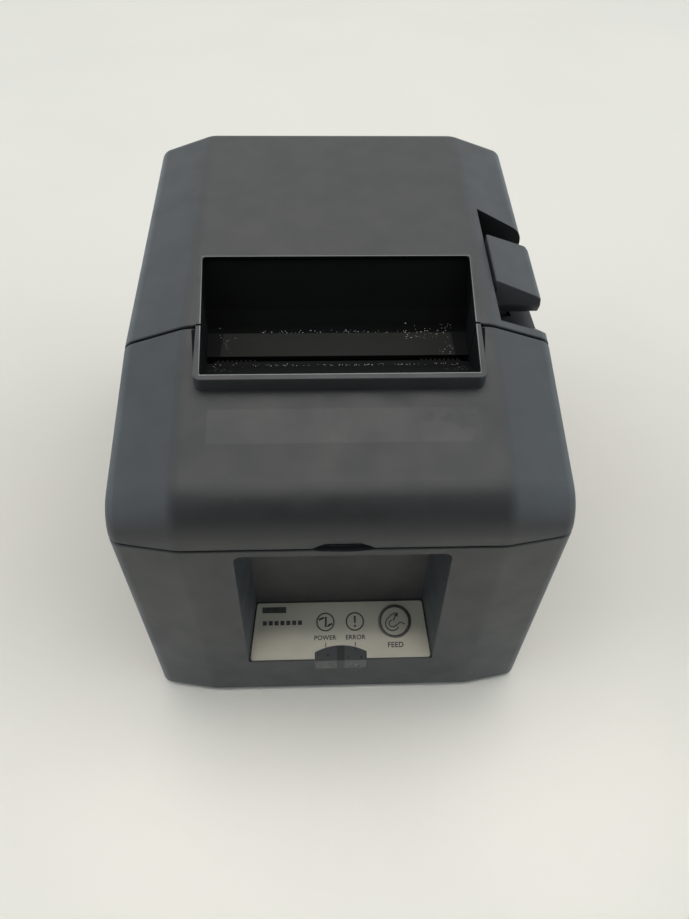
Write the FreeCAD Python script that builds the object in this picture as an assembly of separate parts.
import FreeCAD, Part
import os
from math import cos, pi, radians, sin, sqrt, tan

V = FreeCAD.Vector

# Receipt printer. Millimetres. X to the right seen from the front, Y to the back, Z up.
# The origin is on the table, under the middle of the body.

# ---- whole body ---------------------------------------------------------------------------
WIDTH = 147.0
DEPTH = 218.0
HALF_W = WIDTH / 2
LENS_PROUD = 0.3            # the indicator lens stands this far out of the front
FRONT_Y = -DEPTH / 2 + LENS_PROUD
REAR_Y = DEPTH / 2
BASE_Z = 2.0                # underside of the case, the rubber feet fill the rest
WALL = 2.5

# ---- outer surface ------------------------------------------------------------------------
SEAM_Y = -42.4              # where the front cover meets the printer cover
RIDGE_Z = 135.9             # height of the top surface at that seam
FRONT_SLOPE = tan(radians(16.2))
REAR_EDGE_Y = 72.4          # rear edge of the top surface
REAR_EDGE_Z = 150.35        # before the edge is rounded
REAR_SLOPE = (REAR_EDGE_Z - RIDGE_Z) / (REAR_EDGE_Y - SEAM_Y)
TAIL_Y = 104.0              # foot of the sloping back
TAIL_Z = 87.0
TAIL_FOOT_Y = 105.3         # the cover's tail ends just inside the case's rear wall
TAIL_FOOT_Z = 84.5
LIP_Z = 86.0                # top of the case's rear wall
CREASE_X = 51.3             # the top falls away to the sides from here
SHOULDER_DROP = 7.3
FACET_BACK = 3.9            # how far the front's outer facets run back
BROW_R = 16.0
CREASE_R = 14.0
EDGE_R = 5.0

# ---- seams --------------------------------------------------------------------------------
WAIST_Z = 101.0             # where the covers meet the lower case
SEAM_GAP = 0.7
CASE_TOP = WAIST_Z - SEAM_GAP / 2
COVER_FOOT = WAIST_Z + SEAM_GAP / 2
TONGUE_TOP = 103.0
TONGUE_END_Y = 78.0

# ---- paper exit ---------------------------------------------------------------------------
RIM_X = 46.7                # half width of the rim at its front
RIM_REAR_X = 49.2           # and at its rear
RIM_INNER_X = 44.6
RIM_INNER_REAR_X = 48.3
RIM_FRONT_Y = -66.5
RIM_REAR_Y = -7.0
RIM_PROUD = 0.8
RIM_WALL = 2.2
RIM_REAR_WALL = 1.4
SLOT_Z = 121.0              # level of the paper slot
LIP_FRONT_Y = -42.0         # front side of the slot
BAR_FRONT_Y = -40.2         # rear side of the slot
BAR_REAR_Y = -27.0
TEETH_PER_SIDE = 9
TOOTH_PITCH = 1.6

# ---- opening lever ------------------------------------------------------------------------
NOTCH_X = 55.6
NOTCH_FLOOR_Z = 120.7
LEVER_Y = -14.0             # lever shaft
LEVER_Z = 113.0
GRIP_X = 56.6
GRIP_FRONT_Y = -24.0
GRIP_REAR_Y = 5.2
GRIP_PROUD = 1.6

# ---- front recess and panel ---------------------------------------------------------------
PANEL_Z = 25.5              # lower edge of the sloping panel, on the front face
PANEL_SLOPE = 28.0
PANEL_LENGTH = 23.0
RECESS_TOP_Z = 97.7
RECESS_HALF_TOP = 34.6
RECESS_HALF_FOOT = 36.0
RECESS_TAPER = 0.128        # how fast the recess narrows towards its back
BUTTON_X = 21.5
BUTTON_S = 14.3             # distance up the panel
BUTTON_R = 6.2
BUTTON_GAP = 0.3
LENS_GAP = 0.15
RIDGE_HALF = 1.5            # half width of the ridge between the two windows
LENS_HALF = 10.0
LENS_UP = 5.4
LENS_DOWN = 6.5

# ---- hinge and mechanism ------------------------------------------------------------------
HINGE_Y = 92.0
HINGE_Z = 88.0
PLATEN_Y = -33.5
PLATEN_Z = 100.0
PLATEN_R = 7.5
SIDE_X = 52.0               # inner face of the mechanism's side plates
SHEET = 1.2
NOTCH_R = 5.2               # open notch of the side plates, round the platen's shaft
LINER_X = 44.0
LINER_T = 2.5
HEAD_PIVOT_Y = -46.0
HEAD_PIVOT_Z = 80.0
IDLER_Y = -53.0
IDLER_Z = 85.0
MOTOR_Y = -66.5
MOTOR_Z = 71.1
CUTTER_Y = -70.0
CUTTER_Z = 100.2
CUTTER_MOTOR_Y = -72.5
CUTTER_MOTOR_Z = 84.8
CUTTER_PLATE_Z = 108.0
GEAR_X = -58.0              # outer face of the feed gears
GEAR_W = 4.0
RUN_FIT = 0.05              # radial clearance of a running fit
PLATEN_TEETH = 24
IDLER_TEETH = 33
PINION_TEETH = 11
CUTTER_TEETH = 18
CUTTER_MOTOR_TEETH = 20

# ---- paper bay ----------------------------------------------------------------------------
ROLL_Y = 28.0
ROLL_Z = 70.0
BAY_R = 43.5
BAY_HALF = 42.0
DECK_Z = 98.5

# ---- screws, feet and posts, placed in mirrored pairs --------------------------------------
CASE_SCREWS = [(x, y) for x in (-66, 66) for y in (-92, 92)]
FEET = [(x, y) for x in (-52, 52) for y in (-90, 90)]
FOOT_R = 6.5
BRACKET_HOLES = [(x, y) for x in (-45, 45) for y in (-60, 60)]
BRACKET_HOLE_R = 2.0
MECH_POSTS = [(x, y) for x in (-57, 57) for y in (-78, -26)]
MECH_Z = 50.5               # underside of the mechanism's base plate
COVER_BOSSES = [(x, y) for x in (-38, 38) for y in (12, 64)]
LINER_ROOF_Z = 118.5
BLADE_SCREW_X = 30.0
BLADE_SCREW_Y = -34.0
PLATE_SCREWS = [(-52, 46), (52, 46), (-22, 40)]
LOCK_PIN_Y = -24.0
LOCK_PIN_Z = 96.0

# ---- electronics, sockets and switch ------------------------------------------------------
BOARD_Z = 10.0
BOARD_TOP = 11.6
PLATE_FRONT = REAR_Y - WALL - SHEET
PLATE_BACK = REAR_Y - WALL
PORT_FOOT = 12.8
PORT_TOP = 53.5
INLET_X = 38.0
SWITCH_Y = -62.0
SWITCH_Z = 29.5
SWITCH_HALF_Y = 9.3         # half size of the switch body
SWITCH_HALF_Z = 6.3
ROCKER_X = -70.4
ROCKER_TILT = 7.0
PIVOT_R = 1.0
PIVOT_HALF = 5.9
LED_X = 5.7

FAR = 300.0                 # well outside the printer, for cutting blocks

os.makedirs("parts", exist_ok=True)


# ---- small tools --------------------------------------------------------------------------
def box(x0, x1, y0, y1, z0, z1):
    return Part.makeBox(x1 - x0, y1 - y0, z1 - z0, V(x0, y0, z0))


def rod_x(x0, x1, y, z, r):
    return Part.makeCylinder(r, x1 - x0, V(x0, y, z), V(1, 0, 0))


def rod_y(y0, y1, x, z, r):
    return Part.makeCylinder(r, y1 - y0, V(x, y0, z), V(0, 1, 0))


def rod_z(z0, z1, x, y, r):
    return Part.makeCylinder(r, z1 - z0, V(x, y, z0))


def fuse(shapes):
    return shapes[0].fuse(shapes[1:]).removeSplitter()


def corner(before, point, after, radius):
    """The two tangent points of a rounded corner and the middle of its arc."""
    if radius <= 0:
        return point, point, None
    to_a = (before - point).normalize()
    to_b = (after - point).normalize()
    half = to_a.getAngle(to_b) / 2
    bisector = (to_a + to_b).normalize()
    reach = radius / tan(half)
    return (point + to_a * reach, point + to_b * reach,
            point + bisector * (radius / sin(half) - radius))


def outline(points, radii=None):
    """A closed wire through 3-D points, with rounded corners."""
    count = len(points)
    radii = radii or [0] * count
    corners = [corner(points[i - 1], points[i], points[(i + 1) % count], radii[i])
               for i in range(count)]
    edges = []
    for i, (start, end, middle) in enumerate(corners):
        if middle is not None:
            edges.append(Part.Arc(start, middle, end).toShape())
        following = corners[(i + 1) % count][0]
        if end.distanceToPoint(following) > 1e-6:
            edges.append(Part.LineSegment(end, following).toShape())
    return Part.Wire(edges)


def plate_x(points, x0, x1, radii=None):
    """A (y, z) outline, extruded along X."""
    wire = outline([V(x0, y, z) for y, z in points], radii)
    return Part.Face(wire).extrude(V(x1 - x0, 0, 0))


def plate_y(points, y0, y1, radii=None):
    """An (x, z) outline, extruded along Y."""
    wire = outline([V(x, y0, z) for x, z in points], radii)
    return Part.Face(wire).extrude(V(0, y1 - y0, 0))


def plate_z(points, z0, z1, radii=None):
    """An (x, y) outline, extruded along Z."""
    wire = outline([V(x, y, z0) for x, y in points], radii)
    return Part.Face(wire).extrude(V(0, 0, z1 - z0))


def rounded_box(x0, x1, y0, y1, z0, z1, r):
    return plate_z([(x0, y0), (x1, y0), (x1, y1), (x0, y1)], z0, z1, [r] * 4)


def mirrored(shape):
    return shape.mirror(V(0, 0, 0), V(1, 0, 0))


def both_sides(shape):
    return [shape, mirrored(shape)]


def on_panel(shape):
    """Places a shape drawn flat, with Y up the slope and Z out of it, on the panel."""
    placed = shape.copy()
    placed.Placement = FreeCAD.Placement(V(0, FRONT_Y, PANEL_Z),
                                         FreeCAD.Rotation(V(1, 0, 0), PANEL_SLOPE))
    return placed


def gear_x(x0, x1, y, z, teeth, tip_r, bore_r):
    """A spur gear about the X direction, with straight-sided teeth."""
    root_r = tip_r - 1.5
    pitch = 2 * pi / teeth
    points = []
    for i in range(teeth):
        for share, r in ((-0.30, root_r), (-0.12, tip_r), (0.12, tip_r), (0.30, root_r)):
            a = (i + share) * pitch
            points.append((y + r * cos(a), z + r * sin(a)))
    return plate_x(points, x0, x1).cut(rod_x(x0 - 1, x1 + 1, y, z, bore_r))


def coil(start, direction, r, wire_r, pitch, turns):
    """A round wire spring along a direction, from the start point."""
    height = pitch * turns
    helix = Part.makeHelix(pitch, height, r)
    section = Part.Wire(Part.makeCircle(wire_r, V(r, 0, 0), V(0, 1, 0)))
    spring = Part.Wire(helix).makePipeShell([section], True, True)
    spring.Placement = FreeCAD.Placement(start, FreeCAD.Rotation(V(0, 0, 1), direction))
    return spring


def save(name, shape):
    """Writes one node: a solid, or a list of separate solids."""
    solids = []
    for item in shape if isinstance(shape, list) else [shape]:
        solids.extend(item.Solids)
    out = solids[0] if len(solids) == 1 else Part.makeCompound(solids)
    if not out.isValid():
        print("invalid:", name)
    out.exportStep("parts/" + name + ".step")


# ---- outer hull ---------------------------------------------------------------------------
def edges_at(shape, x):
    """The edges that lie in the planes at plus and minus x, apart from the lower ends."""
    found = []
    for edge in shape.Edges:
        bounds = edge.BoundBox
        flat = bounds.XLength < 1e-3
        if flat and abs(abs(bounds.XMin) - x) < 1e-3 and bounds.ZMax > 3:
            found.append(edge)
    return found


def swept_hull(points, radii, inset, skew, cut_y, keep_front):
    """A side profile, level across the middle and falling away to both sides."""
    half = HALF_W - inset
    run = half - CREASE_X
    share = run / (HALF_W - CREASE_X)
    middle = plate_x(points, -CREASE_X, CREASE_X, radii)
    face = Part.Face(outline([V(CREASE_X, y, z) for y, z in points], radii))
    right = face.extrude(V(run, skew.y * share, skew.z * share))
    hull = fuse([middle, right, mirrored(right)])
    far = 400
    if keep_front:
        hull = hull.common(box(-far, far, -far, cut_y + 1, -20, far))
    else:
        hull = hull.common(box(-far, far, cut_y - 1, far, -20, far))
    crease = [e for e in edges_at(hull, CREASE_X) if not in_cut(e, cut_y, keep_front)]
    hull = hull.makeFillet(CREASE_R - inset, crease)
    rim = [e for e in edges_at(hull, half) if not in_cut(e, cut_y, keep_front)]
    return hull.makeFillet(EDGE_R - inset, rim)


def in_cut(edge, cut_y, keep_front):
    bounds = edge.BoundBox
    end = cut_y + 1 if keep_front else cut_y - 1
    return bounds.YLength < 1e-3 and abs(bounds.YMin - end) < 1e-3


def front_hull(inset):
    lift = inset * sqrt(1 + FRONT_SLOPE ** 2)
    y0 = FRONT_Y + inset
    y1 = SEAM_Y + 40

    def top(y):
        return RIDGE_Z - lift + (y - SEAM_Y) * FRONT_SLOPE

    points = [(y0, -10), (y0, top(y0)), (y1, top(y1)), (y1, -10)]
    skew = V(0, FACET_BACK, -(SHOULDER_DROP - FRONT_SLOPE * FACET_BACK))
    return swept_hull(points, [0, BROW_R - inset, 0, 0], inset, skew, SEAM_Y, True)


def rear_hull(inset):
    lift = inset * sqrt(1 + REAR_SLOPE ** 2)
    lean = (TAIL_Y - REAR_EDGE_Y) / (REAR_EDGE_Z - TAIL_Z)
    shift = inset * sqrt(1 + lean ** 2)

    def top(y):
        return RIDGE_Z - lift + (y - SEAM_Y) * REAR_SLOPE

    def back(z):
        return TAIL_Y - shift - (z - TAIL_Z) * lean

    edge_z = (top(0) + REAR_SLOPE * back(0)) / (1 + REAR_SLOPE * lean)
    y0 = SEAM_Y - 40
    points = [(y0, -10), (y0, top(y0)), (back(edge_z), edge_z), (back(-10), -10)]
    skew = V(0, 0, -SHOULDER_DROP)
    upper = swept_hull(points, [0, 0, EDGE_R, 0], inset, skew, SEAM_Y, False)
    foot_z = LIP_Z - inset
    half = HALF_W - inset
    upper = upper.common(box(-FAR, FAR, -FAR, FAR, foot_z, FAR))
    lower = plate_z([(-half, y0), (half, y0), (half, REAR_Y - inset), (-half, REAR_Y - inset)],
                    -10, foot_z, [0, 0, EDGE_R - inset, EDGE_R - inset])
    return fuse([upper, lower])


_hulls = {}


def half_hull(make, inset):
    """One half of the hull, shrunk by a wall thickness and cut at the cover seam."""
    if (make, inset) not in _hulls:
        whole = make(inset)
        if make is front_hull:
            _hulls[make, inset] = whole.common(box(-FAR, FAR, -FAR, SEAM_Y, -20, FAR))
        else:
            _hulls[make, inset] = whole.common(box(-FAR, FAR, SEAM_Y, FAR, -20, FAR))
    return _hulls[make, inset]


def slab(make, inset, z0, z1):
    return half_hull(make, inset).common(box(-FAR, FAR, -FAR, FAR, z0, z1))


def softened(solid, on_edge, r):
    """Rounds every edge whose two ends and middle pass the test."""
    chosen = []
    for edge in solid.Edges:
        points = [v.Point for v in edge.Vertexes]
        points.append(edge.valueAt((edge.FirstParameter + edge.LastParameter) / 2))
        if all(on_edge(p) for p in points):
            chosen.append(edge)
    return solid.makeFillet(r, chosen)


def rim_z(y):
    """Height of the paper exit's rim."""
    return RIDGE_Z + RIM_PROUD + (y - SEAM_Y) * REAR_SLOPE


# ---- front recess -------------------------------------------------------------------------
def recess(grow):
    """The hollow in the case's front, grown outwards by a wall thickness."""
    slope = tan(radians(PANEL_SLOPE))
    back_y = FRONT_Y + PANEL_LENGTH * cos(radians(PANEL_SLOPE)) + grow
    drop = grow / cos(radians(PANEL_SLOPE))
    mouth_y = FRONT_Y - 5

    def floor_z(y):
        return PANEL_Z + (y - FRONT_Y) * slope - drop

    def front_view(y):
        foot = RECESS_HALF_FOOT - (y - FRONT_Y) * RECESS_TAPER + grow
        top = foot - RECESS_HALF_FOOT + RECESS_HALF_TOP
        points = [V(-foot, y, 10), V(foot, y, 10), V(top, y, RECESS_TOP_Z + grow),
                  V(-top, y, RECESS_TOP_Z + grow)]
        return outline(points, [0, 0, 3 + grow, 3 + grow])

    side_view = [(mouth_y, floor_z(mouth_y)), (back_y, floor_z(back_y)),
                 (back_y, RECESS_TOP_Z + grow), (mouth_y, RECESS_TOP_Z + grow)]
    funnel = Part.makeLoft([front_view(mouth_y), front_view(back_y + 5)], True, True)
    return funnel.common(plate_x(side_view, -50, 50, [0, 1.0, 3 + grow, 0]))


def lens_block(grow):
    """The domed indicator window, which wraps over the panel's lower edge."""
    a = radians(PANEL_SLOPE)
    deep = 1.8 + grow

    def at(s, h):
        return (FRONT_Y + s * cos(a) - h * sin(a), PANEL_Z + s * sin(a) + h * cos(a))

    foot_z = PANEL_Z - LENS_DOWN - grow
    front = FRONT_Y - LENS_PROUD
    nose = at(-LENS_PROUD * 0.6, LENS_PROUD)
    side_view = [(front, foot_z), (front, nose[1] - 0.8), nose, at(LENS_UP + 3, LENS_PROUD),
                 at(LENS_UP + 3, -deep), (FRONT_Y + deep, PANEL_Z - 1.2),
                 (FRONT_Y + deep, foot_z)]
    half = LENS_HALF + grow
    top = LENS_UP + grow
    side = 2.9 + grow
    level = -12
    foot_left = V(-half, -20, level)
    foot_right = V(half, -20, level)
    left = V(-half, side, level)
    right = V(half, side, level)
    edges = [Part.makeLine(foot_left, foot_right), Part.makeLine(foot_right, right),
             Part.Arc(right, V(0, top, level), left).toShape(), Part.makeLine(left, foot_left)]
    plan = Part.Face(Part.Wire(edges)).extrude(V(0, 0, -2 * level))
    return plate_x(side_view, -half, half).common(on_panel(plan))


def panel_label():
    gap = 0.5
    foot = RECESS_HALF_FOOT - 0.9
    top = foot - PANEL_LENGTH * cos(radians(PANEL_SLOPE)) * RECESS_TAPER
    sheet = plate_z([(-foot, gap), (foot, gap), (top, PANEL_LENGTH - 0.9),
                     (-top, PANEL_LENGTH - 0.9)], 0, 0.3, [1, 1, 1, 1])
    hole = rod_z(-1, 1, BUTTON_X, BUTTON_S, BUTTON_R + BUTTON_GAP)
    return on_panel(sheet.cut(hole)).cut(lens_block(LENS_GAP))


def indicator_lens():
    ridge = box(-RIDGE_HALF, RIDGE_HALF, -FAR, FAR, 0, FAR)
    return lens_block(0).cut(ridge)


def feed_button():
    cap = rod_z(-2.5, 0.7, BUTTON_X, BUTTON_S, BUTTON_R)
    cap = softened(cap, lambda p: p.z > 0.69, 0.4)
    flange = rod_z(-3.4, -2.7, BUTTON_X, BUTTON_S, BUTTON_R + 0.9)
    stem = rod_z(-2.8, -2.4, BUTTON_X, BUTTON_S, BUTTON_R - 0.5)
    return on_panel(fuse([cap, stem, flange]))


def feed_switch():
    body = box(BUTTON_X - 3, BUTTON_X + 3, BUTTON_S - 3, BUTTON_S + 3, -7.0, -5.0)
    return on_panel(fuse([body, rod_z(-5.1, -4.2, BUTTON_X, BUTTON_S, 1.6)]))


def panel_board():
    return on_panel(rounded_box(-14, 30, 3, 21, -8.6, -7.0, 1.5))


def indicator_leds():
    return [on_panel(box(x - 1.5, x + 1.5, 3.5, 6.5, -7.0, -5.4)) for x in (-LED_X, LED_X)]


# ---- lower case ---------------------------------------------------------------------------
def thumb_scoop():
    """The round-topped hollow in the front cover's foot, for a fingertip."""
    return rod_y(FRONT_Y - 1, FRONT_Y + 1.9, 0, WAIST_Z - 10.9, 15.06)


def case_shell():
    outer = fuse([slab(front_hull, 0, BASE_Z, CASE_TOP), slab(rear_hull, 0, BASE_Z, CASE_TOP)])
    outer = softened(outer, lambda p: abs(p.z - CASE_TOP) < 1e-3 and p.y < 90, 0.6)
    outer = softened(outer, lambda p: abs(p.z - BASE_Z) < 1e-3, 0.8)
    inner = fuse([slab(front_hull, WALL, -5, FAR), slab(rear_hull, WALL, -5, FAR)])
    return outer.cut(inner)


def waist_tongue(make):
    """A ring inside the case wall that stands up behind the covers' feet."""
    root = slab(make, WALL, 94, CASE_TOP)
    tip = slab(make, WALL + 0.3, CASE_TOP - 0.5, TONGUE_TOP)
    ring = root.fuse(tip).cut(half_hull(make, 4.0))
    return ring.common(box(-FAR, FAR, -FAR, TONGUE_END_Y, 0, FAR))


def switch_box(x0, x1, grow):
    """A block round the power switch's body, grown by a margin."""
    return box(x0, x1, SWITCH_Y - SWITCH_HALF_Y - grow, SWITCH_Y + SWITCH_HALF_Y + grow,
               SWITCH_Z - SWITCH_HALF_Z - grow, SWITCH_Z + SWITCH_HALF_Z + grow)


def lower_case():
    parts = [case_shell(), waist_tongue(front_hull), waist_tongue(rear_hull)]
    inside = slab(front_hull, 1.0, BASE_Z + 3, CASE_TOP)
    parts.append(recess(WALL).common(inside))
    bodies = fuse([slab(front_hull, 1.0, 4.7, 28), slab(rear_hull, 1.0, 4.7, 28)])
    for x, y in CASE_SCREWS:
        parts.append(rod_z(4.7, 28, x, y, 5.6).common(bodies))
    for y in (5, 60):
        parts += both_sides(box(67.5, 71.5, y - 4, y + 4, 88, DECK_Z - 2))
    case = fuse(parts)
    cuts = [recess(0), lens_block(LENS_GAP),
            on_panel(rod_z(-5, 5, BUTTON_X, BUTTON_S, BUTTON_R + BUTTON_GAP)),
            box(-70.8, 70.8, 80, TAIL_FOOT_Y + 0.6, 60, CASE_TOP + 3),
            box(-57, 57, 104, 112, PORT_FOOT, PORT_TOP)]
    cuts += [rod_z(0, 24, x, y, 1.6) for x, y in CASE_SCREWS]
    cuts.append(switch_box(-80, -72.3, 1.4))
    cuts.append(switch_box(-80, -60, 0.3))
    dip_r = 56.0
    cuts.append(rod_y(FRONT_Y - 1, FRONT_Y + 2, 0, CASE_TOP + dip_r - 0.9, dip_r))
    case = case.cut(cuts)
    ridge = lens_block(0).common(box(-RIDGE_HALF, RIDGE_HALF, -FAR, FAR, 0, FAR))
    root = box(-RIDGE_HALF, RIDGE_HALF, FRONT_Y + 1.5, FRONT_Y + 3, PANEL_Z - LENS_DOWN,
               PANEL_Z - 2)
    return fuse([case, ridge, root])


def base_plate():
    outline_solid = fuse([slab(front_hull, WALL + 0.2, BASE_Z, 4.4),
                          slab(rear_hull, WALL + 0.2, BASE_Z, 4.4)])
    parts = [outline_solid]
    parts += [rod_z(4.3, MECH_Z, x, y, 4.5) for x, y in MECH_POSTS]
    for y in (-70, 96):
        parts += both_sides(rod_z(4.3, BOARD_Z, 45, y, 3))
    plate = fuse(parts)
    cuts = [rod_z(0, 3.1, x, y, FOOT_R + 0.2) for x, y in FEET]
    for x, y in CASE_SCREWS:
        cuts += [rod_z(0, 3.2, x, y, 3.3), rod_z(0, 6, x, y, 1.7)]
    cuts += [rod_z(0, 6, x, y, BRACKET_HOLE_R) for x, y in BRACKET_HOLES]
    for i in range(7):
        cuts.append(box(-24, 24, -24 + 8 * i, -20.5 + 8 * i, 0, 6))
    cuts += [rod_z(36, 51, x, y, 1.5) for x, y in MECH_POSTS]
    return plate.cut(cuts)


def rubber_feet():
    foot = softened(rod_z(0, 3, 0, 0, FOOT_R), lambda p: p.z < 0.01, 0.6)
    return [foot.translated(V(x, y, 0)) for x, y in FEET]


def screw(head_r, head_h, shank_r, length):
    """A pan-head screw that hangs down from z = 0, with a cross recess in its head."""
    head = softened(rod_z(0, head_h, 0, 0, head_r), lambda p: p.z > head_h - 0.01, 0.35)
    cross = fuse([box(-head_r * 0.6, head_r * 0.6, -0.35, 0.35, head_h - 0.9, head_h + 1),
                  box(-0.35, 0.35, -head_r * 0.6, head_r * 0.6, head_h - 0.9, head_h + 1)])
    return fuse([head.cut(cross), rod_z(-length, 0.2, 0, 0, shank_r)])


def placed(shape, x, y, z, direction=V(0, 0, 1)):
    turned = shape.copy()
    turned.Placement = FreeCAD.Placement(V(x, y, z), FreeCAD.Rotation(V(0, 0, 1), direction))
    return turned


def case_screws():
    one = screw(2.9, 1.1, 1.55, 15)
    return [placed(one, x, y, 3.2, V(0, 0, -1)) for x, y in CASE_SCREWS]


# ---- front cover --------------------------------------------------------------------------
def tapered(front_x, rear_x, front_y, rear_y, z0, z1, r):
    """An upright block, a little wider at its rear, with rounded corners."""
    return plate_z([(-front_x, front_y), (front_x, front_y), (rear_x, rear_y),
                    (-rear_x, rear_y)], z0, z1, [r] * 4)


def rim_inside(z0, z1):
    return tapered(RIM_INNER_X, RIM_INNER_REAR_X, RIM_FRONT_Y + RIM_WALL,
                   RIM_REAR_Y - RIM_REAR_WALL, z0, z1, 1.2)


def collar():
    """The raised rim round the paper exit."""
    outer = tapered(RIM_X, RIM_REAR_X, RIM_FRONT_Y, RIM_REAR_Y, SLOT_Z - 3, 170, 3)
    inner = rim_inside(0, 200)
    above = plate_x([(-90, rim_z(-90)), (20, rim_z(20)), (20, 200), (-90, 200)], -60, 60)
    ring = outer.cut(inner).cut(above)
    return softened(ring, lambda p: abs(p.z - rim_z(p.y)) < 1e-3, 0.3)


def well():
    """The space inside the rim, cut out of the covers a little into the rim's wall."""
    return tapered(RIM_X - 0.6, RIM_REAR_X - 0.4, RIM_FRONT_Y + 0.6, RIM_REAR_Y - 0.4,
                   SLOT_Z - 10, 200, 2.4)


def funnel_fit(slope):
    """Trims a slope of the paper exit to the rim, reaching a little into its walls."""
    return slope.common(tapered(RIM_INNER_X + 0.3, RIM_INNER_REAR_X + 0.3, RIM_FRONT_Y + 1,
                                RIM_REAR_Y - 0.6, 100, 170, 1.2))


def front_cover():
    edge_y = SEAM_Y - 0.4
    outer = slab(front_hull, 0, COVER_FOOT, FAR).common(box(-FAR, FAR, -FAR, edge_y, 0, FAR))
    outer = softened(outer, lambda p: abs(p.y - edge_y) < 1e-3 and p.z > COVER_FOOT + 1, 0.6)
    outer = softened(outer, lambda p: abs(p.z - COVER_FOOT) < 1e-3 and p.y < edge_y - 0.5, 0.5)
    cover = outer.cut(half_hull(front_hull, WALL))
    # Behind the thumb scoop the wall is thicker, but thin where the case's tongue stands.
    thin = plate_y([(-14, COVER_FOOT), (14, COVER_FOOT), (11, 109), (-11, 109)],
                   FRONT_Y + 2, FRONT_Y + 2.75)
    thick = plate_y([(-14, TONGUE_TOP + 0.3), (14, TONGUE_TOP + 0.3), (11, 109), (-11, 109)],
                    FRONT_Y + 2, FRONT_Y + 4.6)
    cover = cover.fuse([thin, thick]).cut(well())
    rim = collar().common(box(-FAR, FAR, -FAR, edge_y, 0, FAR))
    slope = plate_x([(RIM_FRONT_Y + 1, rim_z(RIM_FRONT_Y) - 1.6),
                     (RIM_FRONT_Y + RIM_WALL, rim_z(RIM_FRONT_Y) - 1.6),
                     (-44.4, SLOT_Z - 0.8), (LIP_FRONT_Y, SLOT_Z - 0.8),
                     (LIP_FRONT_Y, SLOT_Z - 2.6), (-45, SLOT_Z - 2.8),
                     (RIM_FRONT_Y + 1, rim_z(RIM_FRONT_Y) - 4)], -RIM_X, RIM_X)
    slope = funnel_fit(slope)
    slope = slope.cut([box(-FAR, -43.6, edge_y, 0, 0, FAR), box(43.6, FAR, edge_y, 0, 0, FAR)])
    parts = [cover, rim, slope]
    for i in range(TEETH_PER_SIDE):
        x = 42.6 - i * TOOTH_PITCH
        tooth = box(x - 0.8, x, LIP_FRONT_Y - 0.2, LIP_FRONT_Y + 0.9, SLOT_Z - 2.6, SLOT_Z - 0.8)
        parts += both_sides(tooth)
    for x in (-52, 48):
        parts.append(box(x, x + 4, FRONT_Y + 2, FRONT_Y + 5.8, TONGUE_TOP + 0.4, 110))
        parts.append(box(x, x + 4, FRONT_Y + 4.4, FRONT_Y + 5.8, 96, TONGUE_TOP + 1))
    return fuse(parts).cut(thumb_scoop())


# ---- printer cover ------------------------------------------------------------------------
def notch_view(grow):
    """Side view of the hollow that the opening lever sits in."""
    floor_z = NOTCH_FLOOR_Z - grow
    return [(-39.0 - grow, 160), (-38.8 - grow, 128.6), (-25.0 - grow * 0.4, floor_z),
            (14.5 + grow, floor_z), (17.0 + grow, 160)]


def notch_space(grow):
    """The hollow for the opening lever, deeper to the rear near the middle of the cover."""
    x0 = NOTCH_X - grow
    space = plate_x(notch_view(grow), x0, FAR, [0, 0, 1.2, 1.2, 0])
    wedge = plate_z([(x0, 10), (80, 10), (80, 14 + grow), (x0, 22.4 + grow)],
                    NOTCH_FLOOR_Z + 3 - grow, 160)
    return fuse([space, wedge])


def printer_cover():
    edge_y = SEAM_Y + 0.4
    outer = slab(rear_hull, 0, COVER_FOOT, FAR).common(box(-FAR, FAR, edge_y, FAR, 0, FAR))
    outer = softened(outer, lambda p: abs(p.y - edge_y) < 1e-3 and p.z > COVER_FOOT + 1, 0.6)
    lean = (TAIL_Y - REAR_EDGE_Y) / (REAR_EDGE_Z - TAIL_Z)
    join_z = COVER_FOOT + 1
    join_y = TAIL_Y - (join_z - TAIL_Z) * lean
    inner = WALL * sqrt(1 + lean ** 2)
    tail = plate_x([(join_y, join_z), (TAIL_FOOT_Y, TAIL_FOOT_Z),
                    (TAIL_FOOT_Y - inner, TAIL_FOOT_Z), (join_y - inner, join_z)],
                   -70.2, 70.2, [0, 1, 0, 0])
    tail = tail.common(half_hull(rear_hull, 0).fuse(box(-FAR, FAR, 0, FAR, 0, TAIL_Z)))
    cover = outer.cut(half_hull(rear_hull, WALL)).fuse(tail)
    notch = notch_space(0)
    notch_walls = notch_space(2.0)
    notch_walls = notch_walls.common(half_hull(rear_hull, 0.4)).cut(notch)
    notch_walls = notch_walls.common(box(-FAR, FAR, edge_y + 0.4, FAR, 0, FAR))
    cover = cover.cut([well(), notch])
    rim = collar().common(box(-FAR, FAR, edge_y, FAR, 0, FAR))
    crease_y = -20.5
    slope = plate_x([(RIM_REAR_Y - 1, rim_z(RIM_REAR_Y) - 1.8),
                     (RIM_REAR_Y - RIM_REAR_WALL, rim_z(RIM_REAR_Y) - 1.8),
                     (crease_y, 126.6), (BAR_REAR_Y, SLOT_Z),
                     (BAR_FRONT_Y, SLOT_Z), (BAR_FRONT_Y, SLOT_Z - 2),
                     (BAR_REAR_Y - 1, SLOT_Z - 2), (crease_y - 0.9, 124.2),
                     (RIM_REAR_Y - 1, rim_z(RIM_REAR_Y) - 4.6)], -RIM_REAR_X, RIM_REAR_X)
    slope = funnel_fit(slope)
    bosses = [rod_z(120.8, 149, x, y, 3.5).common(half_hull(rear_hull, 1.0))
              for x, y in COVER_BOSSES]
    cover = fuse([cover, rim, slope, notch_walls] + bosses)
    cuts = [box(58.8, 65.7, -17.5, -2.5, NOTCH_FLOOR_Z - 3, NOTCH_FLOOR_Z + 1)]
    cuts += [rod_z(118, 134, x, y, 1.4) for x, y in COVER_BOSSES]
    return cover.cut(cuts)


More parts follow.
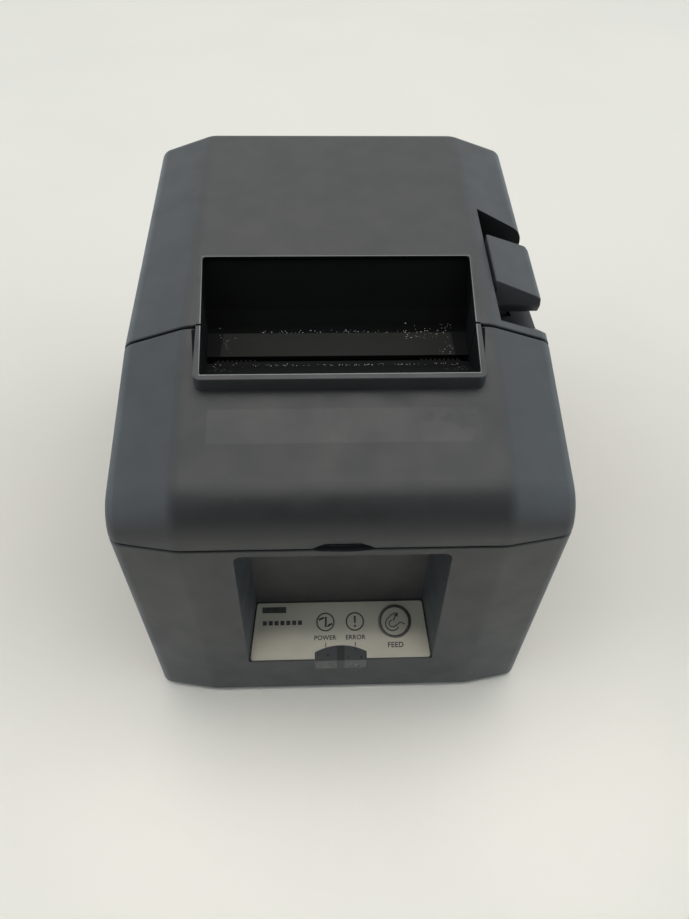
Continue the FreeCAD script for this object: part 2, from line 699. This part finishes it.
def cover_liner():
    """The frame under the printer cover: it carries the platen, the lever and the hinge."""
    side_view = [(-39.6, 117.6), (-39.6, 103), (-38.4, 94.6), (-28.6, 94.6), (-21, 104),
                 (25, 107), (74, 101), (84, 90), (90, 84), (98, 91), (80, 127),
                 (73.2, 140), (70, 144.6), (-4.6, 136.4), (-4.6, 117.6)]
    radii = [1, 2, 3, 3, 3, 5, 4, 2, 1, 2, 5, 3, 2, 2, 1]
    side = plate_x(side_view, LINER_X, LINER_X + LINER_T, radii)
    side = side.fuse([rod_x(LINER_X - 1, 50, HINGE_Y, HINGE_Z, 6.6)])
    window = plate_x([(8, 124), (62, 124), (62, 138), (8, 132)], 0, 60, [3, 3, 3, 3])
    side = side.cut([window, rod_x(30, 60, HINGE_Y, HINGE_Z, 2.5 + RUN_FIT),
                     rod_x(30, 60, PLATEN_Y, PLATEN_Z, 4.0),
                     rod_x(30, 60, LEVER_Y, LEVER_Z, 2.5 + RUN_FIT)])
    wide = LINER_X + 1
    bar = box(-wide, wide, -39.5, -29.5, 113.0, 117.6)
    roof = box(-wide, wide, -3, 76, LINER_ROOF_Z, LINER_ROOF_Z + 2)
    back = box(-wide, wide, 74, 76, 103, 120)
    liner = fuse(both_sides(side) + [bar, roof, back])
    cuts = [rod_z(110, 130, x, y, 1.6) for x, y in COVER_BOSSES]
    cuts += both_sides(rod_z(110, 130, BLADE_SCREW_X, BLADE_SCREW_Y, 1.25))
    return liner.cut(cuts)


def cover_screws():
    one = screw(2.8, 1.6, 1.35, 12)
    return [placed(one, x, y, LINER_ROOF_Z, V(0, 0, -1)) for x, y in COVER_BOSSES]


def fixed_blade():
    blade = plate_z([(-43, BAR_FRONT_Y - 0.4), (43, BAR_FRONT_Y - 0.4), (43, -30), (-43, -30)],
                    111.8, 113.0)
    return blade.cut(both_sides(rod_z(110, 114, BLADE_SCREW_X, BLADE_SCREW_Y, 1.6)))


def platen_bushes():
    barrel = rod_x(43.6, 48.0, PLATEN_Y, PLATEN_Z, 4.0)
    flange = rod_x(LINER_X + LINER_T, 47.6, PLATEN_Y, PLATEN_Z, 5.2)
    bush = fuse([barrel, flange]).cut(rod_x(40, 60, PLATEN_Y, PLATEN_Z, 2.5 + RUN_FIT))
    return both_sides(bush)


# ---- platen and feed gears ----------------------------------------------------------------
def platen_shaft():
    return fuse([rod_x(-60, 55, PLATEN_Y, PLATEN_Z, 2.5), rod_x(-42.5, 42.5, PLATEN_Y, PLATEN_Z, 4)])


def platen_roller():
    sleeve = rod_x(-41, 41, PLATEN_Y, PLATEN_Z, PLATEN_R)
    return sleeve.cut(rod_x(-50, 50, PLATEN_Y, PLATEN_Z, 4))


def platen_gear():
    return gear_x(GEAR_X, GEAR_X + GEAR_W, PLATEN_Y, PLATEN_Z, PLATEN_TEETH, 10.4, 2.5)


def idler_gear():
    return gear_x(GEAR_X, GEAR_X + GEAR_W, IDLER_Y, IDLER_Z, IDLER_TEETH, 14.0, 1.5 + RUN_FIT)


def motor_pinion():
    pinion = gear_x(GEAR_X, GEAR_X + GEAR_W, MOTOR_Y, MOTOR_Z, PINION_TEETH, 5.2, 1.0)
    return fuse([pinion, rod_x(-60, -45, MOTOR_Y, MOTOR_Z, 1.5)])


def feed_motor():
    can = rod_x(-50.8, -29, MOTOR_Y, MOTOR_Z, 17.5)
    can = softened(can, lambda p: p.x > -29.01, 1.5)
    flange = rod_x(-SIDE_X, -50.8, MOTOR_Y, MOTOR_Z, 17.5)
    terminal = box(-46, -34, MOTOR_Y - 7, MOTOR_Y + 7, MOTOR_Z - 18.6, MOTOR_Z - 15)
    return fuse([can, flange, terminal]).cut(rod_x(-60, -44, MOTOR_Y, MOTOR_Z, 1.5 + RUN_FIT))


# ---- mechanism frame ----------------------------------------------------------------------
def mech_side():
    side_view = [(-84, 52), (-20, 52), (-20, 103.5), (-45, 103.5), (-45, 108), (-84, 108)]
    plate = plate_x(side_view, SIDE_X, SIDE_X + SHEET, [0, 0, 2, 1, 0, 0])
    notch = fuse([rod_x(40, 60, PLATEN_Y, PLATEN_Z, NOTCH_R),
                  box(40, 60, PLATEN_Y - NOTCH_R, PLATEN_Y + NOTCH_R, PLATEN_Z, 120)])
    return plate.cut([notch, rod_x(40, 60, LOCK_PIN_Y, LOCK_PIN_Z, 2.5),
                      rod_x(40, 60, HEAD_PIVOT_Y, HEAD_PIVOT_Z, 2.0)])


def mech_side_left():
    plate = mirrored(mech_side()).cut(rod_x(-60, -40, MOTOR_Y, MOTOR_Z, 6.5))
    return fuse([plate, rod_x(-60, -SIDE_X - 0.4, IDLER_Y, IDLER_Z, 1.5)])


def mech_base():
    plate = box(-61.5, 61.5, -84, -20, MECH_Z, MECH_Z + 1.5)
    cuts = [box(-20, 20, -54, -44, 40, 60), rod_z(40, 60, -40, MOTOR_Y, 4),
            box(0, 36, -80, -62, 40, 60)]
    cuts += [rod_z(40, 60, x, y, 1.6) for x, y in MECH_POSTS]
    return plate.cut(cuts)


def mech_cross_plate():
    plate = box(-SIDE_X, SIDE_X, -57, -55.8, 89.5, 106)
    lugs = [rod_y(-55.9, -54.6, x, 97, 1.8) for x in (-22, 22)]
    return fuse([plate] + lugs)


def mech_screws():
    one = screw(2.9, 1.8, 1.45, 14)
    return [placed(one, x, y, MECH_Z + 1.5) for x, y in MECH_POSTS]


def lock_pins():
    pin = rod_x(47.2, SIDE_X + SHEET, LOCK_PIN_Y, LOCK_PIN_Z, 2.5)
    return both_sides(softened(pin, lambda p: p.x < 47.21, 0.5))


def lower_paper_guide():
    side_view = [(-17.9, 88), (-22, 84.6), (-40.4, 88.6), (-40.4, 90.6), (-22.4, 86.8), (-17.9, 90.4)]
    guide = plate_x(side_view, -43.2, 43.2)
    tabs = both_sides(box(42, SIDE_X, -40, -29, 86.9, 88.4))
    return fuse([guide] + tabs)


def paper_sensor():
    return box(12, 20, -37, -29, 78, 85.4)


def cover_switch():
    body = box(SIDE_X + SHEET, 59, -43, -27, 82, 92)
    arm = plate_x([(-42, 92), (-41, 92), (-30, 94.6), (-30.4, 95.2), (-42, 92.6)], 54.6, 57.4)
    return fuse([body, arm])


# ---- print head ---------------------------------------------------------------------------
def thermal_head():
    board = box(-42, 42, -42.3, -41.3, 86, 104)
    driver = box(-34, 34, -41.3, -40.9, 86.4, 89)
    return fuse([board, driver])


def head_heatsink():
    block = box(-42.5, 42.5, -47, -42.3, 84, 104.5)
    fins = [box(x - 2, x + 2, -48.5, -46.5, 86, 94) for x in (-34, -12, 0, 12, 34)]
    lugs = both_sides(box(36, 40, -49, -43, 77, 84.5))
    pivot = rod_x(-60, 60, HEAD_PIVOT_Y, HEAD_PIVOT_Z, 2.0 + RUN_FIT)
    return fuse([block] + fins + lugs).cut(pivot)


def head_shaft():
    return rod_x(-SIDE_X - SHEET, SIDE_X + SHEET, HEAD_PIVOT_Y, HEAD_PIVOT_Z, 2.0)


def head_springs():
    return [coil(V(x, -47.6, 97), V(0, -1, 0), 2.8, 0.4, 1.25, 6) for x in (-22, 22)]


def head_ribbon():
    side_view = [(-49.4, 15), (-49.1, 15), (-49.1, 83), (-47.4, 85.2), (-47.4, 85.8),
                 (-47.7, 85.8), (-49.4, 83.4)]
    ribbon = plate_x(side_view, -15, 15)
    socket = box(-17, 17, -51.5, -47, 11.6, 15)
    return [ribbon, socket]


# ---- paper cutter -------------------------------------------------------------------------
def cutter_base():
    plate = box(-51.5, 51.5, -84, -46, CUTTER_PLATE_Z, CUTTER_PLATE_Z + SHEET)
    ears = both_sides(box(42, 43.2, -77, -63, 94, CUTTER_PLATE_Z + 0.5))
    motor_ear = box(34.4, 35.6, -82, -62, 75, CUTTER_PLATE_Z + 0.5)
    base = fuse([plate, motor_ear] + ears)
    windows = both_sides(box(25.6, 34.2, -83, -47.5, 100, 112))
    bores = [rod_x(-60, 33, CUTTER_Y, CUTTER_Z, 2.0 + RUN_FIT),
             rod_x(33, 60, CUTTER_Y, CUTTER_Z, 2.0 + RUN_FIT),
             rod_x(30, 40, CUTTER_MOTOR_Y, CUTTER_MOTOR_Z, 3)]
    return base.cut(windows + bores)


def cutter_top():
    plate = box(-51.5, 51.5, -84, -47, 113.4, 113.4 + SHEET)
    spacers = both_sides(box(46, 51.5, -84, -47, CUTTER_PLATE_Z + SHEET, 113.5))
    window = rounded_box(-30, 30, -78, -60, 110, 120, 3)
    return fuse([plate] + spacers).cut(window)


def moving_blade():
    blade = plate_z([(-43, -80), (43, -80), (43, -51.6), (0, -56.5), (-43, -51.6)], 110.4, 111.4)
    window = rounded_box(-18, 18, -76, -64, 110, 112, 3)
    racks = []
    for i in range(9):
        y = -82 + 2.51 * i
        racks.append(box(27, 33, y, y + 1.3, 108.0, 109.4))
    racks.append(box(27, 33, -82, -58.6, 109.2, 110.6))
    rack = fuse(racks)
    return fuse([blade.cut(window)] + both_sides(rack))


def cutter_shaft():
    pinions = [gear_x(x - 3, x + 3, CUTTER_Y, CUTTER_Z, CUTTER_TEETH, 7.6, 1.0) for x in (-30, 30)]
    wheel = gear_x(36, 40, CUTTER_Y, CUTTER_Z, CUTTER_TEETH, 7.4, 1.0)
    return fuse([rod_x(-45.5, 45.5, CUTTER_Y, CUTTER_Z, 2.0), wheel] + pinions)


def cutter_motor():
    can = rod_x(10, 34.4, CUTTER_MOTOR_Y, CUTTER_MOTOR_Z, 7.5)
    can = softened(can, lambda p: p.x < 10.01, 1.0)
    return can.cut(rod_x(29, 40, CUTTER_MOTOR_Y, CUTTER_MOTOR_Z, 1.0 + RUN_FIT))


def cutter_motor_gear():
    gear = gear_x(36, 40, CUTTER_MOTOR_Y, CUTTER_MOTOR_Z, CUTTER_MOTOR_TEETH, 8.0, 0.6)
    return fuse([gear, rod_x(30, 41, CUTTER_MOTOR_Y, CUTTER_MOTOR_Z, 1.0)])


# ---- opening lever ------------------------------------------------------------------------
def lever_grip():
    side_view = [(GRIP_FRONT_Y + 12.8, 160), (GRIP_FRONT_Y, 130), (GRIP_FRONT_Y + 1.6, 126.2),
                 (GRIP_REAR_Y, 126.2), (GRIP_REAR_Y + 0.6, 160)]
    block = plate_x(side_view, GRIP_X, HALF_W, [0, 2, 1, 1, 0])
    shoulder = half_hull(rear_hull, 0).translated(V(1.5, 0, GRIP_PROUD - 0.5))
    grip = softened(block.common(shoulder), lambda p: p.z > 130.2, 0.5)
    corners = plate_z([(GRIP_X, -40), (HALF_W, -40), (HALF_W, GRIP_REAR_Y + 0.4),
                       (GRIP_X, GRIP_REAR_Y + 0.4)], 120, 160, [0, 0, 3.2, 0.8])
    chamfer = plate_x([(GRIP_FRONT_Y - 1, 125), (GRIP_FRONT_Y + 3.4, 125),
                       (GRIP_FRONT_Y - 1, 129.4)], HALF_W - 4, HALF_W + 1)
    grip = grip.common(corners).cut(chamfer)
    arm = plate_x([(LEVER_Y - 4.5, LEVER_Z), (LEVER_Y + 4.8, LEVER_Z), (-4, 127), (-12.5, 127)],
                  60, 64.5)
    boss = rod_x(58.4, 66, LEVER_Y, LEVER_Z, 5)
    return fuse([grip, arm, boss]).cut(rod_x(50, 70, LEVER_Y, LEVER_Z, 2.5))


def lever_shaft():
    return rod_x(-51.6, 66.5, LEVER_Y, LEVER_Z, 2.5)


def latch_hooks():
    side_view = [(-17.8, 117.2), (-10.2, 117.2), (-9.2, 109), (-14.6, 92), (-16.4, 88.4),
                 (-21.0, 88.4), (-21.0, 91.4), (-19.2, 93.2), (-19.2, 106)]
    hook = plate_x(side_view, 48.5, 50.5, [2, 2, 3, 3, 1, 0.5, 0.5, 0.5, 3])
    return both_sides(hook.cut(rod_x(40, 60, LEVER_Y, LEVER_Z, 2.5)))


def lever_spring():
    return coil(V(51.2, LEVER_Y, LEVER_Z), V(1, 0, 0), 3.4, 0.4, 1.1, 5)


# ---- paper bay ----------------------------------------------------------------------------
def paper_bucket():
    t = 2.0
    outer = fuse([rod_x(-BAY_HALF - t, BAY_HALF + t, ROLL_Y, ROLL_Z, BAY_R + t),
                  box(-BAY_HALF - t, BAY_HALF + t, ROLL_Y - BAY_R - t, ROLL_Y + BAY_R + t,
                      ROLL_Z, DECK_Z)])
    inner = fuse([rod_x(-BAY_HALF, BAY_HALF, ROLL_Y, ROLL_Z, BAY_R),
                  box(-BAY_HALF, BAY_HALF, ROLL_Y - BAY_R, ROLL_Y + BAY_R, ROLL_Z, 140)])
    above = box(-FAR, FAR, -FAR, FAR, DECK_Z, FAR)
    decks = both_sides(box(BAY_HALF + 1, 69.2, -5, 72, DECK_Z - 2, DECK_Z))
    hole = rod_x(40, 50, 11, 40, 3.5)
    return fuse([outer] + decks).cut([inner, above, hole])


def near_end_sensor():
    body = box(BAY_HALF + 2, 51, 4, 18, 34, 46)
    return fuse([body, rod_x(42.6, 45, 11, 40, 2.2)])


# ---- hinge --------------------------------------------------------------------------------
def hinge_brackets():
    side_view = [(72, 4.4), (97, 4.4), (93, 55), (93, 82), (92, HINGE_Z), (87, HINGE_Z),
                 (86, 60), (80, 20)]
    plate = plate_x(side_view, 54, 56.5, [0, 0, 3, 2, 0, 2, 3, 5])
    eye = rod_x(54, 56.5, HINGE_Y, HINGE_Z, 5.5)
    return both_sides(fuse([plate, eye]).cut(rod_x(50, 60, HINGE_Y, HINGE_Z, 2.5)))


def hinge_rod():
    return rod_x(-58, 58, HINGE_Y, HINGE_Z, 2.5)


# ---- electronics and rear sockets ---------------------------------------------------------
def main_board():
    return rounded_box(-50, 50, -76, 104, BOARD_Z, BOARD_TOP, 2)


def board_parts():
    parts = []
    for x, y, r, h in ((30, -30, 5, 9), (30, -17, 5, 9), (38, -6, 4, 8), (-34, 70, 5, 8)):
        parts.append(rod_z(BOARD_TOP, BOARD_TOP + h, x, y, r))
    for x, y, w, d, h in ((-20, -10, 20, 20, 1.6), (8, 10, 14, 10, 1.4), (-25, 25, 12, 8, 1.4),
                          (34, 34, 14, 7, 8), (-40, -66.5, 10, 5, 5), (10, 62, 12, 12, 3)):
        parts.append(box(x - w / 2, x + w / 2, y - d / 2, y + d / 2, BOARD_TOP, BOARD_TOP + h))
    return parts


def motor_leads():
    return rod_z(BOARD_TOP + 5, MOTOR_Z - 18.6, -40, MOTOR_Y, 1.4)


def under_wall():
    """The space of the wall below the socket window."""
    return box(-60, 60, PLATE_FRONT - 0.1, 110, 0, PORT_FOOT + 0.2)


def data_socket():
    body = box(-46, -34, 90, 107.4, BOARD_TOP, BOARD_TOP + 11)
    mouth = box(-44.2, -35.8, 98, 110, BOARD_TOP + 1.6, BOARD_TOP + 9.4)
    tongue = box(-42.8, -37.2, 97, 106, BOARD_TOP + 3.9, BOARD_TOP + 7.1)
    return fuse([body.cut(mouth), tongue]).cut(under_wall())


def drawer_socket():
    body = box(-8, 8, 92, 107.4, BOARD_TOP, BOARD_TOP + 13.5)
    mouth = box(-5, 5, 96, 110, BOARD_TOP + 3, BOARD_TOP + 10)
    keyway = box(-2, 2, 96, 110, BOARD_TOP + 1.4, BOARD_TOP + 4)
    return body.cut([mouth, keyway, under_wall()])


def power_inlet():
    middle = BOARD_TOP + 8.5
    body = fuse([box(29, 47, 90, 105, BOARD_TOP, BOARD_TOP + 17),
                 rod_y(104, 107.4, INLET_X, middle, 8)])
    pins = [rod_y(96, 105, INLET_X + 3 * cos(a), middle + 3 * sin(a), 0.7)
            for a in (radians(30), radians(150), radians(270))]
    body = body.cut([rod_y(97, 110, INLET_X, middle, 5.6), under_wall()])
    return fuse([body] + pins)


def rear_plate():
    plate = box(-60, 60, PLATE_FRONT, PLATE_BACK, 8, 56)
    cuts = [box(-46.3, -33.7, 100, 110, PORT_FOOT, BOARD_TOP + 11.3),
            box(-8.3, 8.3, 100, 110, PORT_FOOT, BOARD_TOP + 13.8),
            rod_y(100, 110, INLET_X, BOARD_TOP + 8.5, 8.3)]
    cuts += [rod_y(100, 110, x, z, 1.6) for x, z in PLATE_SCREWS]
    return plate.cut(cuts)


def plate_screws():
    one = screw(2.8, 1.8, 1.45, 8)
    return [placed(one, x, PLATE_BACK, z, V(0, 1, 0)) for x, z in PLATE_SCREWS]


# ---- power switch -------------------------------------------------------------------------
def switch_housing():
    flange = switch_box(-73.4, -72.4, 1.1)
    body = switch_box(-72.5, -57, 0)
    pit = switch_box(-80, -65, -0.8)
    pins = [box(-57.1, -50.5, SWITCH_Y + d - 2.2, SWITCH_Y + d + 2.2, SWITCH_Z - 0.4, SWITCH_Z + 0.4)
            for d in (-5, 5)]
    bore = rod_z(SWITCH_Z - PIVOT_HALF - 0.1, SWITCH_Z + PIVOT_HALF + 0.1, ROCKER_X, SWITCH_Y,
                 PIVOT_R + RUN_FIT)
    return fuse([fuse([flange, body]).cut([pit, bore])] + pins)


def power_rocker():
    points = [(-1.9, -8.0), (-1.3, 0), (-1.9, 8.0), (1.6, 7.6), (3.6, 0), (1.6, -7.6)]
    plan = [(ROCKER_X + x, SWITCH_Y + y) for x, y in points]
    rocker = plate_z(plan, SWITCH_Z - 5.0, SWITCH_Z + 5.0, [0.8, 6, 0.8, 0.8, 2, 0.8])
    rocker.rotate(V(ROCKER_X, SWITCH_Y, 0), V(0, 0, 1), ROCKER_TILT)
    pivot = rod_z(SWITCH_Z - PIVOT_HALF, SWITCH_Z + PIVOT_HALF, ROCKER_X, SWITCH_Y, PIVOT_R)
    return fuse([rocker, pivot])


# ---- every node ---------------------------------------------------------------------------
NODES = [lower_case, base_plate, rubber_feet, case_screws, front_cover, printer_cover,
         cover_liner, cover_screws, fixed_blade, platen_bushes, platen_shaft, platen_roller,
         platen_gear, idler_gear, motor_pinion, feed_motor, mech_side_left, mech_base,
         mech_cross_plate, mech_screws, lock_pins, lower_paper_guide, paper_sensor,
         cover_switch, thermal_head, head_heatsink, head_shaft, head_springs, head_ribbon,
         cutter_base, cutter_top, moving_blade, cutter_shaft, cutter_motor, cutter_motor_gear,
         lever_grip, lever_shaft, latch_hooks, lever_spring, paper_bucket, near_end_sensor,
         hinge_brackets, hinge_rod, main_board, board_parts, motor_leads, data_socket,
         drawer_socket, power_inlet, rear_plate, plate_screws, switch_housing, power_rocker,
         panel_label, indicator_lens, feed_button, feed_switch, panel_board, indicator_leds]

for make in NODES:
    save(make.__name__, make())
save("mech_side_right", mech_side())
